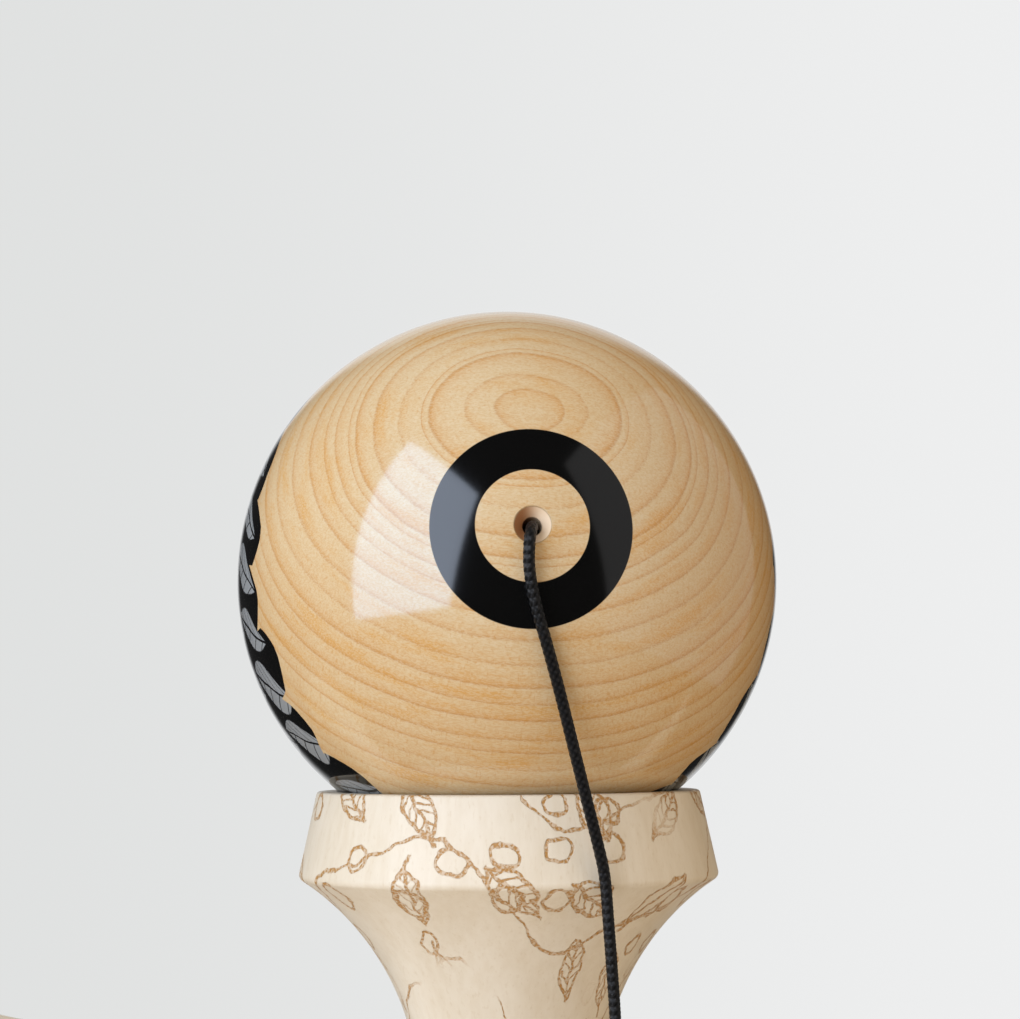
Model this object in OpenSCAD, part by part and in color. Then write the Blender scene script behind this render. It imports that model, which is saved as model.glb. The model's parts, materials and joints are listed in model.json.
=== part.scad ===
// Kendama standing on its small cup: the ball rests in the big cup, the stick lies level.
// Millimetres, Z up. The origin is the centre of the small cup's rim, on the surface it stands on.
// X runs along the stick towards its spike, and the ball's string hole faces -Y.

/* [Ball] */
// Diameter of the ball
tama_d = 60; // [56:0.5:64]
// Diameter of the hole that the string comes out of
string_hole_d = 2; // [1.8:0.1:2.6]
// Mouth diameter of the countersink round the string hole
countersink_d = 4; // [3:0.1:5]
// Depth of that countersink
countersink_depth = 1; // [0.5:0.1:2]
// Diameter of the hole that takes the spike
spike_hole_d = 21; // [19:0.5:23]
// Depth of the spike hole's straight wall, from the ball's full outline
spike_hole_depth = 26.5; // [20:0.5:29]
// Width of the bevel round the spike hole's mouth
spike_hole_bevel = 1; // [0.4:0.1:2]
// Point angle of the tapered drill that makes the spike hole
drill_point_angle = 75; // [60:1:100]
// Upward tilt of the string hole, in degrees
hole_tilt = 7.3; // [0:0.1:15]
// Turn of the string hole towards the spike, in degrees
hole_turn = 5.1; // [0:0.1:15]

/* [Big cup] */
// Distance from the stick's axis to the big cup's rim
big_side = 34.7; // [32:0.1:40]
// Outer diameter of the rim
big_rim_d = 42.4; // [41:0.1:44]
// Diameter of the widest edge, before it is rounded
big_edge_d = 46.5; // [45:0.1:50]
// Height of the bevel between the rim and the widest edge
big_bevel_h = 9.4; // [7:0.1:11]
// Diameter of the bowl at the rim
big_bowl_d = 37.7; // [36:0.1:39]
// Depth of the bowl
big_bowl_depth = 12.5; // [11:0.1:14]

/* [Small cup] */
// Distance from the stick's axis to the small cup's rim
small_side = 33.4; // [31:0.1:40]
// Outer diameter of the rim
small_rim_d = 38.8; // [37:0.1:41]
// Diameter of the widest edge, before it is rounded
small_edge_d = 42.6; // [41:0.1:45]
// Height of the bevel between the rim and the widest edge
small_bevel_h = 8.4; // [6:0.1:10]
// Diameter of the bowl at the rim
small_bowl_d = 34; // [31:0.1:35.5]
// Depth of the bowl
small_bowl_depth = 9.5; // [8:0.1:11]

/* [Base cup] */
// Distance from the big cup's axis to the base cup's rim
base_reach = 80.6; // [75:0.1:88]
// Length of the flare from the handle to the widest edge
base_flare_len = 22.8; // [19:0.1:26]
// Outer diameter of the rim
base_rim_d = 37.6; // [36:0.1:40]
// Diameter of the widest edge, before it is rounded
base_edge_d = 41.4; // [40:0.1:44]
// Height of the bevel between the rim and the widest edge
base_bevel_h = 8.2; // [6:0.1:10]
// Diameter of the bowl at the rim
base_bowl_d = 32.8; // [30:0.1:34]
// Depth of the bowl
base_bowl_depth = 8.5; // [7:0.1:10]

/* [Cup edges] */
// Radius on the inner edge of each lip
lip_round = 0.5; // [0.2:0.1:0.8]
// Radius on the outer edge of each rim
rim_round = 0.4; // [0.2:0.1:0.8]
// Radius on each cup's widest edge
edge_round = 0.8; // [0.3:0.1:1.5]

/* [Waist] */
// Diameter of the waist between the two cups
waist_d = 20; // [18.5:0.1:23]
// Length of the waist's straight stretch
waist_len = 2; // [1:0.1:6]

/* [Stick] */
// Diameter of the handle where the base cup's flare starts
handle_d = 19.1; // [17.5:0.1:21]
// Diameter of the handle at its shoulder, as a share of that
handle_top_share = 0.86; // [0.82:0.01:0.95]
// Length of the shoulder's bevel
shoulder_len = 0.6; // [0.4:0.1:1.5]
// Diameter of the tapered stem at its middle
stem_d = 13.8; // [12.8:0.1:14.2]
// Taper of the stem on each side, in degrees
stem_taper = 2.4; // [1:0.1:3]
// Distance from the big cup's axis to the tip of the spike
spike_reach = 90; // [80:0.5:98]
// Distance from the big cup's axis to the place where the spike narrows faster
spike_mid_reach = 46; // [35:0.5:60]
// Diameter of the spike there
spike_mid_d = 10.8; // [9.5:0.1:11.8]
// Diameter of the rounded tip
spike_tip_d = 5.2; // [4:0.1:7]
// Diameter of the cross hole that takes the string's knot
knot_pocket_d = 4.8; // [4.4:0.1:6]

/* [String] */
// Diameter of the braided cord
string_d = 1.2; // [1:0.05:1.3]
// Diameter of the bead
bead_d = 7; // [5:0.1:7.5]
// Diameter of the bead's hole
bead_hole_d = 1.8; // [1.7:0.1:2.4]
// Diameter of a stopper knot
knot_d = 3; // [2.4:0.1:3.4]
// Diameter of the coil's outer turn, at the middle of the cord
coil_d = 16; // [14:0.1:18]

/* [Clearances] */
// Radial clearance of the stem in its tapered hole
stem_clearance = 0.05; // [0.02:0.01:0.1]
// Gap between the shoulder and the waist
shoulder_gap = 0.3; // [0.2:0.05:0.8]
// Gap where the ball, the bead and a knot rest on their seats
seat_gap = 0.1; // [0.05:0.01:0.3]
// Gap between neighbouring turns of the coil
coil_gap = 0.45; // [0.42:0.01:0.8]

/* [Hidden] */
$fn = 96;
long_arc_sides = 720;
overrun = 1;

// Where the pieces sit
axis_z = small_side;
rim_z = small_side + big_side;
waist_r = waist_d / 2;
neck_low_z = axis_z - waist_len / 2;
neck_high_z = axis_z + waist_len / 2;
small_flare_len = small_side - waist_len / 2 - small_bevel_h;
big_flare_len = big_side - waist_len / 2 - big_bevel_h;

// Radius of the arc that leaves a line smoothly and moves aside by d over the length l
function arc_radius(d, l) = (d * d + l * l) / (2 * d);

function unit(v) = v / norm(v);

// Centre of a fillet of radius q between the line p + t * u and the outside of a circle;
// n is the unit normal of the line that points into the wood
function fillet_centre(p, u, n, c, r, q) =
    let (w = p + n * q - c)
    let (along = u * w)
    p + n * q + u * (sqrt(along * along - w * w + (r + q) * (r + q)) - along);

// The ball rests on the rounded inner edge of the big cup's lip
tama_r = tama_d / 2;
big_bowl_r = arc_radius(big_bowl_depth, big_bowl_d / 2);
big_bowl_centre = [0, rim_z + big_bowl_r - big_bowl_depth];
big_lip_centre = fillet_centre([big_bowl_d / 2, rim_z], [1, 0], [0, -1],
                               big_bowl_centre, big_bowl_r, lip_round);
seat_reach = tama_r + seat_gap + lip_round;
tama_z = big_lip_centre.y + sqrt(seat_reach * seat_reach - big_lip_centre.x * big_lip_centre.x);

// Places along the axis of the ball's holes, from the ball's centre towards the string hole
hole_axis = [cos(hole_tilt) * sin(hole_turn), -cos(hole_tilt) * cos(hole_turn), sin(hole_tilt)];
countersink_top = sqrt(tama_r * tama_r - countersink_d * countersink_d / 4);
countersink_floor = countersink_top - countersink_depth;
spike_mouth_r = spike_hole_d / 2 + spike_hole_bevel;
spike_mouth = -sqrt(tama_r * tama_r - spike_mouth_r * spike_mouth_r);
spike_wall_end = spike_hole_depth - tama_r;
drill_half_angle = drill_point_angle / 2;
drill_apex = spike_wall_end + spike_hole_d / 2 / tan(drill_half_angle);

// The bead sits in the drill's cone, and the knot under the bead
bead_r = bead_d / 2;
bead_at = drill_apex - (bead_r + seat_gap) / sin(drill_half_angle);
bead_mouth = bead_at - sqrt(bead_r * bead_r - bead_hole_d * bead_hole_d / 4);
knot_r = knot_d / 2;
knot_reach = knot_r + seat_gap;
bead_knot_at = bead_mouth - sqrt(knot_reach * knot_reach - bead_hole_d * bead_hole_d / 4);
string_mouth = countersink_floor - seat_gap;

// The tapered stem and the stick's other places, from the big cup's axis towards the spike
function stem_r(x) = stem_d / 2 - x * tan(stem_taper);
handle_top_r = handle_d / 2 * handle_top_share;
flare_r_big = arc_radius(big_edge_d / 2 - waist_r, big_flare_len);
shoulder_rise = max(handle_top_r - waist_len / 2, 0);
waist_at_shoulder = waist_r + flare_r_big - sqrt(flare_r_big * flare_r_big - shoulder_rise * shoulder_rise);
bore_half = waist_at_shoulder + overrun;
shoulder_x = -waist_at_shoulder - shoulder_gap;
handle_end_x = shoulder_x - shoulder_len;
flare_start_x = base_bevel_h + base_flare_len - base_reach;
tip_r = spike_tip_d / 2;
tip_x = spike_reach - tip_r;
ken_knot_y = -(stem_d / 2 - knot_r - seat_gap);
string_end_y = -(stem_d / 2 + stem_clearance + seat_gap);

// The coil: one and a half turns in along the surface, half a turn up, one and a half turns out on top
coil_x = 34;
coil_y = -17;
layer_turns = 1.5;
climb_turns = 0.5;
turn_rings = 24;
coil_pitch = string_d + coil_gap;
lie_z = string_d / 2 + coil_gap / 9;
coil_turns = 2 * layer_turns + climb_turns;
function coil_in(turn) = min(turn, coil_turns - turn);
function climb(turn) = min(max((turn - layer_turns) / climb_turns, 0), 1);
function coil_point(turn) =
    let (r = coil_d / 2 - coil_pitch * coil_in(turn))
    let (rise = (1 - cos(180 * climb(turn))) / 2)
    [coil_x + r * sin(360 * turn), coil_y + r * cos(360 * turn), lie_z + coil_pitch * rise];
coil_lead = [string_d, 0, 0];
coil_rings = coil_turns * turn_rings;
coil_path = concat([coil_point(0) - coil_lead],
                   [for (i = [0:coil_rings]) coil_point(i / turn_rings)],
                   [coil_point(coil_turns) - coil_lead]);
function least_gap(p, apart, d) =
    min([for (i = [0:len(p) - 1 - apart]) for (j = [i + apart:len(p) - 1]) norm(p[i] - p[j])]) - d;
echo(str("least gap of the coil to itself: ", least_gap(coil_path, turn_rings / 2, string_d), " mm"));

// Route of the free run: out of the ball, down its front, over the cup's edge, down to the surface
function on_hole_axis(w) = [0, 0, tama_z] + hole_axis * w;
string_route = concat(
    [on_hole_axis(string_mouth + seat_gap), on_hole_axis(string_mouth + string_d / 2)],
    [[2.5, -29.8, 94.8], [2.35, -30.7, 94.2], [2.25, -31.2, 93.2], [2.2, -31.1, 91.4], [2.4, -30.9, 89.4],
     [3.0, -30.5, 86.6], [3.9, -29.7, 83.4], [5.1, -28.1, 79.0], [6.6, -26.2, 73.0], [8.1, -24.3, 67.0],
     [9.3, -22.8, 62.2], [9.8, -22.2, 59.6], [10.1, -22.0, 55.5], [10.4, -21.9, 51.0], [10.7, -21.8, 46.0],
     [11.0, -21.9, 38.0], [11.4, -22.1, 27.0], [11.8, -22.2, 15.0], [12.5, -22.1, 7.0], [13.9, -21.4, 2.6],
     [16.4, -19.3, 0.8], [20.0, -15.6, 0.7], [24.5, -11.8, 0.7], [29.0, -9.5, 0.7]],
    [coil_path[0]]);

// Route of the return: off the coil, along the surface, up over the small cup, into the string hole
return_route = concat(
    [coil_path[len(coil_path) - 1]],
    [[29.5, -25.2, 2.0], [25.0, -26.0, 1.0], [19.0, -27.2, 0.7], [12.5, -27.9, 0.7], [7.0, -27.3, 0.7],
     [3.4, -25.6, 0.9], [1.5, -23.9, 2.2], [0.8, -22.9, 4.6], [0.5, -22.4, 7.2], [0.3, -21.6, 9.6],
     [0.2, -18.5, 13.0], [0.1, -15.7, 16.8], [0.0, -13.9, 21.0], [0.0, -13.6, 26.0], [0.0, -13.5, 31.0],
     [0.0, -12.8, 32.7]],
    [[0, -waist_r - string_d, axis_z], [0, string_end_y, axis_z]]);
string_sides = 8;
coil_sides = 6;
steps_between = 2;

// A smooth curve through the points p, with the given number of steps between neighbours
function curve_at(p, i, t) =
    let (a = p[max(i - 1, 0)])
    let (b = p[i])
    let (c = p[i + 1])
    let (d = p[min(i + 2, len(p) - 1)])
    b + (c - a) * t / 2 + (2 * a - 5 * b + 4 * c - d) * t * t / 2 + (3 * b - a - 3 * c + d) * t * t * t / 2;
function smooth(p, steps) =
    concat([for (i = [0:len(p) - 2]) for (k = [0:steps - 1]) curve_at(p, i, k / steps)], [p[len(p) - 1]]);

// Directions along a path, and a side vector at each point that turns as little as it can
function tangents(p) =
    [for (i = [0:len(p) - 1]) unit(p[min(i + 1, len(p) - 1)] - p[max(i - 1, 0)])];
function carried(u, t) = unit(u - (u * t) * t);
function side_vectors(t) =
    [for (i = 0, u = carried([1, 0, 0] + [0, 1, 0] * t[0].x, t[0]); i < len(t);
          i = i + 1, u = carried(u, t[min(i, len(t) - 1)])) u];

// A round cord along the path p, as rings of corners joined by triangles
module cord(p, d, sides) {
    t = tangents(p);
    u = side_vectors(t);
    rings = len(p);
    corners = [for (i = [0:rings - 1]) for (k = [0:sides - 1])
        p[i] + (u[i] * cos(360 * k / sides) + cross(t[i], u[i]) * sin(360 * k / sides)) * d / 2];
    walls = [for (i = [0:rings - 2]) for (k = [0:sides - 1])
        let (a = i * sides + k)
        let (b = i * sides + (k + 1) % sides)
        each [[a, a + sides, b], [b, a + sides, b + sides]]];
    first = [for (k = [1:sides - 2]) [0, k, k + 1]];
    end = (rings - 1) * sides;
    last = [for (k = [1:sides - 2]) [end, end + k + 1, end + k]];
    polyhedron(corners, concat(walls, first, last));
}

// What a fillet of radius q takes off the corner p between two straight edges
module straight_corner(p, a, b, q) {
    half = acos(a * b) / 2;
    centre = p + unit(a + b) * q / sin(half);
    difference() {
        polygon([p + unit(p - centre) * q, p + a * q / tan(half), centre, p + b * q / tan(half)]);
        translate(centre) circle(q);
    }
}

// What it takes off the corner p between the straight edge u and a circle that is cut away
module round_corner(p, u, n, c, r, q) {
    centre = fillet_centre(p, u, n, c, r, q);
    difference() {
        polygon([p + unit(p - centre) * q, centre - n * q, centre, c + unit(centre - c) * r]);
        translate(centre) circle(q);
    }
}

// Half section of a turned cup above its neck: flare, bevel, rim and bowl
module cup_section(neck_r, flare_len, edge_r, bevel_h, rim_r, bowl_r, bowl_depth) {
    rim_h = flare_len + bevel_h;
    flare_r = arc_radius(edge_r - neck_r, flare_len);
    flare_centre = [neck_r + flare_r, 0];
    bowl_radius = arc_radius(bowl_depth, bowl_r);
    bowl_centre = [0, rim_h + bowl_radius - bowl_depth];
    bevel = unit([rim_r - edge_r, bevel_h]);
    difference() {
        polygon([[0, 0], [edge_r, 0], [edge_r, flare_len], [rim_r, rim_h], [0, rim_h]]);
        translate(flare_centre) circle(flare_r);
        translate(bowl_centre) circle(bowl_radius);
        round_corner([bowl_r, rim_h], [1, 0], [0, -1], bowl_centre, bowl_radius, lip_round);
        straight_corner([rim_r, rim_h], [-1, 0], -bevel, rim_round);
        round_corner([edge_r, flare_len], bevel, [-bevel.y, bevel.x], flare_centre, flare_r, edge_round);
    }
}

// Half section of a disc of radius r about the turning axis
module half_disc(r) {
    intersection() {
        circle(r);
        translate([0, -r]) square([r, 2 * r]);
    }
}

module sarado_section() {
    translate([0, neck_high_z])
        cup_section(waist_r, big_flare_len, big_edge_d / 2, big_bevel_h, big_rim_d / 2,
                    big_bowl_d / 2, big_bowl_depth);
    translate([0, neck_low_z]) square([waist_r, waist_len]);
    translate([0, neck_low_z]) mirror([0, 1])
        cup_section(waist_r, small_flare_len, small_edge_d / 2, small_bevel_h, small_rim_d / 2,
                    small_bowl_d / 2, small_bowl_depth);
}

// Cross piece with the two cups, its tapered hole and its two string holes
module sarado() {
    color("wheat") difference() {
        rotate_extrude() sarado_section();
        translate([0, 0, axis_z]) rotate([0, 90, 0])
            cylinder(r1 = stem_r(-bore_half) + stem_clearance, r2 = stem_r(bore_half) + stem_clearance,
                     h = 2 * bore_half, center = true);
        translate([0, 0, axis_z]) rotate([90, 0, 0])
            cylinder(d = string_hole_d, h = 2 * bore_half, center = true);
    }
}

// Half section of the handle: its side is one long arc that leaves the flare smoothly
module handle_section() {
    handle_len = handle_end_x - flare_start_x;
    side_r = arc_radius(handle_d / 2 - handle_top_r, handle_len);
    intersection() {
        translate([0, flare_start_x]) square([handle_d / 2, handle_len]);
        translate([handle_d / 2 - side_r, flare_start_x]) circle(side_r, $fn = long_arc_sides);
    }
}

// Half section of the shoulder, the tapered stem and the spike
module spike_section() {
    to_mid = [spike_mid_d / 2, spike_mid_reach - tip_x];
    tip_angle = atan2(to_mid.y, to_mid.x) + acos(tip_r / norm(to_mid));
    polygon([[0, handle_end_x], [handle_top_r, handle_end_x], [stem_r(shoulder_x), shoulder_x],
             [stem_r(bore_half), bore_half], [spike_mid_d / 2, spike_mid_reach],
             [tip_r * cos(tip_angle), tip_x + tip_r * sin(tip_angle)], [0, tip_x]]);
    translate([0, tip_x]) half_disc(tip_r);
}

// Stick with the base cup, handle, stem and spike
module ken() {
    color("wheat") translate([0, 0, axis_z]) difference() {
        rotate([0, 90, 0]) rotate_extrude() union() {
            translate([0, flare_start_x]) mirror([0, 1])
                cup_section(handle_d / 2, base_flare_len, base_edge_d / 2, base_bevel_h, base_rim_d / 2,
                            base_bowl_d / 2, base_bowl_depth);
            handle_section();
            spike_section();
        }
        rotate([90, 0, 0]) cylinder(d = knot_pocket_d, h = stem_d + overrun, center = true);
    }
}

// Puts a piece on the axis of the ball's holes, with its top towards the string hole
module on_ball() {
    translate([0, 0, tama_z]) rotate([90 - hole_tilt, 0, hole_turn]) children();
}

// Half section of everything that is drilled out of the ball, from the spike hole to the countersink
module ball_holes_section() {
    wide_r = spike_mouth_r + overrun;
    hole_r = string_hole_d / 2;
    countersink_slope = (countersink_d / 2 - hole_r) / countersink_depth;
    polygon([[0, -tama_d], [wide_r, -tama_d], [wide_r, spike_mouth - overrun],
             [spike_hole_d / 2, spike_mouth + spike_hole_bevel], [spike_hole_d / 2, spike_wall_end],
             [hole_r, drill_apex - hole_r / tan(drill_half_angle)], [hole_r, countersink_floor],
             [countersink_d / 2 + overrun * countersink_slope, countersink_top + overrun],
             [0, countersink_top + overrun]]);
}

module tama() {
    color("burlywood") on_ball() rotate_extrude() difference() {
        half_disc(tama_r);
        ball_holes_section();
    }
}

module bead() {
    color("saddlebrown") on_ball() translate([0, 0, bead_at]) rotate_extrude() difference() {
        half_disc(bead_r);
        translate([0, -bead_r]) square([bead_hole_d / 2, bead_d]);
    }
}

module string() {
    color("black") cord(smooth(string_route, steps_between), string_d, string_sides);
}

module string_coil() {
    color("black") cord(coil_path, string_d, coil_sides);
}

module string_return() {
    color("black") cord(smooth(return_route, steps_between), string_d, string_sides);
}

module string_inner() {
    color("black") on_ball() translate([0, 0, bead_knot_at])
        cylinder(d = string_d, h = string_mouth - bead_knot_at);
}

module bead_knot() {
    color("black") on_ball() translate([0, 0, bead_knot_at]) sphere(knot_r);
}

// Knot in the stick's cross hole, with the bit of cord that leads to it
module ken_knot() {
    color("black") translate([0, ken_knot_y, axis_z]) {
        sphere(knot_r);
        rotate([90, 0, 0]) cylinder(d = string_d, h = ken_knot_y - string_end_y);
    }
}

sarado();
ken();
tama();
bead();
string();
string_coil();
string_return();
string_inner();
bead_knot();
ken_knot();
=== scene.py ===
import json

import bmesh
import bpy
import numpy as np
from mathutils import Matrix


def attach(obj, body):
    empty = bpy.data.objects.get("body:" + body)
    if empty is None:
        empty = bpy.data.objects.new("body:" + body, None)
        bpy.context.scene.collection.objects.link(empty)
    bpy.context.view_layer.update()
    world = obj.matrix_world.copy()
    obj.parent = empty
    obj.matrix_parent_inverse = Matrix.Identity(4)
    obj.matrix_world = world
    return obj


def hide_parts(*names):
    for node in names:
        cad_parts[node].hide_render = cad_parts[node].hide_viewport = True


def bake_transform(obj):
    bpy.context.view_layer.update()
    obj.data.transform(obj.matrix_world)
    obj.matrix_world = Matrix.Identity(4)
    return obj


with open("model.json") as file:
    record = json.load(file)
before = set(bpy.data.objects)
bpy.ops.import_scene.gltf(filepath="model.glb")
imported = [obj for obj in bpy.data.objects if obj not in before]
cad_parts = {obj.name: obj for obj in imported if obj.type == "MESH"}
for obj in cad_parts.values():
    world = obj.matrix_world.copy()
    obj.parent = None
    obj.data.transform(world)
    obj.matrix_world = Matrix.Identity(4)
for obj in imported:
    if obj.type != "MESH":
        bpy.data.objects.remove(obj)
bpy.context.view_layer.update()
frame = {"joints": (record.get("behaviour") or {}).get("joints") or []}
scene = bpy.context.scene
scene.view_settings.view_transform = "Standard"

# Camera: a long lens on a stand in front of the ball, a little below its middle and looking slightly up.
# It leans by a third of a degree, as the photograph's frame does against the cup's rim.
MM = 0.001
LENS_MM = 86.47
SENSOR_MM = 36.0
camera_place = np.array([0.0, -274.05, 74.95]) * MM
yaw, pitch, roll = np.radians([0.08, 5.1, -0.35])
forward = np.array([np.sin(yaw) * np.cos(pitch), np.cos(yaw) * np.cos(pitch), np.sin(pitch)])
level_right = np.array([np.cos(yaw), -np.sin(yaw), 0.0])
level_up = np.cross(level_right, forward)
camera_right = level_right * np.cos(roll) + level_up * np.sin(roll)
camera_up = level_up * np.cos(roll) - level_right * np.sin(roll)
lens = bpy.data.cameras.new("camera")
lens.lens = LENS_MM
lens.sensor_width = SENSOR_MM
lens.clip_start, lens.clip_end = 0.01, 20.0
camera = bpy.data.objects.new("camera", lens)
camera_turn = np.stack([camera_right, camera_up, -forward, camera_place], axis=1)
camera.matrix_world = Matrix([*camera_turn.tolist(), [0, 0, 0, 1]])
scene.collection.objects.link(camera)
scene.camera = camera

# Cord: a thin black braided nylon string, about 0.39 m long, tied at both ends. It comes out of the ball's
# hole, hangs over the big cup's edge, lies on the table in a small coil and goes up into the cross piece.
CORD_D = 1.2 * MM
RING_STEP = 0.11 * MM
CORD_SIDES = 24
STRANDS = 6
BRAID_PITCH = 0.85 * MM
BRAID_DEPTH = 0.12 * MM
# The cord's black is painted darker in the crevices between strands and lighter on the strands' crowns: painted shade
# and painted sheen.
CORD_CREVICE_PAINTED_SHADE = (0.002, 0.002, 0.002, 1.0)
CORD_CROWN_PAINTED_SHEEN = (0.012, 0.012, 0.013, 1.0)
CRISP_ANGLE = 32

spin = next(j for j in frame["joints"] if j["name"] == "tama_spin")
ball_centre = np.array(spin["pos_m"])
hole_axis = np.array(spin["axis"]) / np.linalg.norm(spin["axis"])


def curve_through(points, steps):
    """Catmull-Rom curve through the points: cubic pieces whose slope at a point is half the step between its
    neighbours."""
    ends = np.vstack([points[:1], points, points[-1:]])
    a, b, c, d = (ends[i:i + len(points) - 1, None] for i in range(4))
    t = (np.arange(steps) / steps)[None, :, None]
    bends = (2 * a - 5 * b + 4 * c - d) * t**2 + (3 * b - a - 3 * c + d) * t**3
    curve = b + (c - a) * t / 2 + bends / 2
    return np.vstack([curve.reshape(-1, 3), points[-1:]])


def resampled(path, step):
    """The same line with points at equal distances along it, about one step apart."""
    run = np.concatenate([[0], np.cumsum(np.linalg.norm(np.diff(path, axis=0), axis=1))])
    places = np.linspace(0, run[-1], int(round(run[-1] / step)) + 1)
    return np.stack([np.interp(places, run, path[:, k]) for k in range(3)], axis=1)


def softened(path, reach):
    """Each point becomes the weighted mean of its neighbours (a bell of that reach in points); the ends stay."""
    bell = np.exp(-0.5 * (np.arange(-3 * reach, 3 * reach + 1) / reach) ** 2)
    padded = np.pad(path, ((3 * reach, 3 * reach), (0, 0)), mode="reflect", reflect_type="odd")
    return np.stack([np.convolve(padded[:, k], bell / bell.sum(), mode="valid") for k in range(3)], axis=1)


def carried_frames(path):
    """Unit tangent, side and cross vectors along a path, without twist: the side vector is first taken square to one
    fixed direction, then turned back by the sum of its small turns about the tangent from each point to the next."""
    tangent = np.gradient(path, axis=0)
    tangent /= np.linalg.norm(tangent, axis=1, keepdims=True)
    side = np.cross(tangent, [0.3, 0.2, 0.93])
    side /= np.linalg.norm(side, axis=1, keepdims=True)
    across = np.cross(tangent, side)
    small_turns = np.arctan2((side[1:] * across[:-1]).sum(axis=1), (side[1:] * side[:-1]).sum(axis=1))
    twist = np.concatenate([[0.0], np.cumsum(small_turns)])[:, None]
    side = side * np.cos(twist) - across * np.sin(twist)
    return tangent, side, np.cross(tangent, side)


class Shell:
    """Vertices and faces of one piece, gathered grid by grid as arrays."""

    def __init__(self):
        self.points, self.faces, self.count = [], {3: [], 4: []}, 0

    def add(self, points):
        """Adds an array of points, and gives their numbers in the same layout."""
        flat = np.asarray(points, float).reshape(-1, 3)
        numbers = self.count + np.arange(len(flat)).reshape(np.shape(points)[:-1])
        self.points.append(flat)
        self.count += len(flat)
        return numbers

    def skin(self, grid, wrap_rows=False, wrap_columns=True, keep=None):
        """Four-sided faces between neighbouring rows and columns of a grid of point numbers, where keep is true."""
        rows = np.vstack([grid, grid[:1]]) if wrap_rows else grid
        both = np.hstack([rows, rows[:, :1]]) if wrap_columns else rows
        cells = np.stack([both[:-1, :-1], both[:-1, 1:], both[1:, 1:], both[1:, :-1]], axis=-1)
        self.faces[4].append(cells[keep] if keep is not None else cells.reshape(-1, 4))

    def fan(self, ring, tip):
        """Triangles from a closed ring of point numbers to one tip."""
        self.faces[3].append(np.stack([ring, np.roll(ring, -1), np.full(len(ring), tip)], axis=-1))

    def piece(self, name, material, attributes=None):
        """The finished object: unused points are dropped, faces turned outwards, edges over 32 degrees kept crisp."""
        points = np.vstack(self.points)
        blocks = [np.vstack(self.faces[n]) for n in (4, 3) if self.faces[n]]
        used = np.unique(np.concatenate([b.ravel() for b in blocks]))
        number = np.zeros(len(points), int)
        number[used] = np.arange(len(used))
        corners = np.concatenate([number[b].ravel() for b in blocks])
        sizes = np.concatenate([np.full(len(b), b.shape[1]) for b in blocks])
        mesh = bpy.data.meshes.new(name)
        mesh.vertices.add(len(used))
        mesh.vertices.foreach_set("co", points[used].ravel())
        mesh.loops.add(len(corners))
        mesh.loops.foreach_set("vertex_index", corners)
        mesh.polygons.add(len(sizes))
        mesh.polygons.foreach_set("loop_start", np.concatenate([[0], np.cumsum(sizes)[:-1]]))
        mesh.update(calc_edges=True)
        mesh.validate()
        whole = bmesh.new()
        whole.from_mesh(mesh)
        bmesh.ops.recalc_face_normals(whole, faces=whole.faces)
        whole.to_mesh(mesh)
        whole.free()
        mesh.shade_smooth()
        mesh.set_sharp_from_angle(angle=np.radians(CRISP_ANGLE))
        for key, values in (attributes or {}).items():
            mesh.attributes.new(key, "FLOAT", "POINT").data.foreach_set("value", values.ravel()[used])
        mesh.materials.append(material)
        made = bpy.data.objects.new(name, mesh)
        scene.collection.objects.link(made)
        return made


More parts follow.
